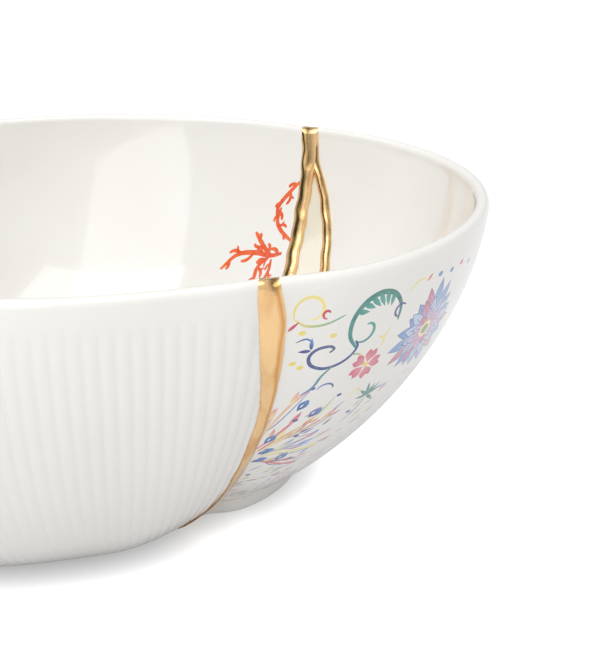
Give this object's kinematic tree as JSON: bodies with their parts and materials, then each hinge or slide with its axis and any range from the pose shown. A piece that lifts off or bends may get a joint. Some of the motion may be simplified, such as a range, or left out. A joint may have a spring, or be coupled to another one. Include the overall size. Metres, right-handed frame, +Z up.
{
  "type": "kintsugi bowl",
  "caption": "Round porcelain bowl rebuilt from unlike shards, one white and fluted, one painted with flowers, and a cream sliver, joined by a raised gold seam; open and empty.",
  "frame": {"origin": "on the surface the bowl stands on, under the middle of its box", "axes": "+Z up out of the mouth, +X towards the painted shard, -Y towards the pictured side"},
  "size_m": [0.192, 0.1794, 0.076],
  "materials": {
    "white_porcelain": "glazed white porcelain",
    "painted_porcelain": "glazed white porcelain with flowers painted outside",
    "cream_porcelain": "glazed cream porcelain",
    "gold": "polished gold"
  },
  "bodies": {
    "root": {"fluted_shard": "white_porcelain", "floral_shard": "painted_porcelain", "cream_shard": "cream_porcelain", "gold_seam": "gold"}
  },
  "joints": []
}
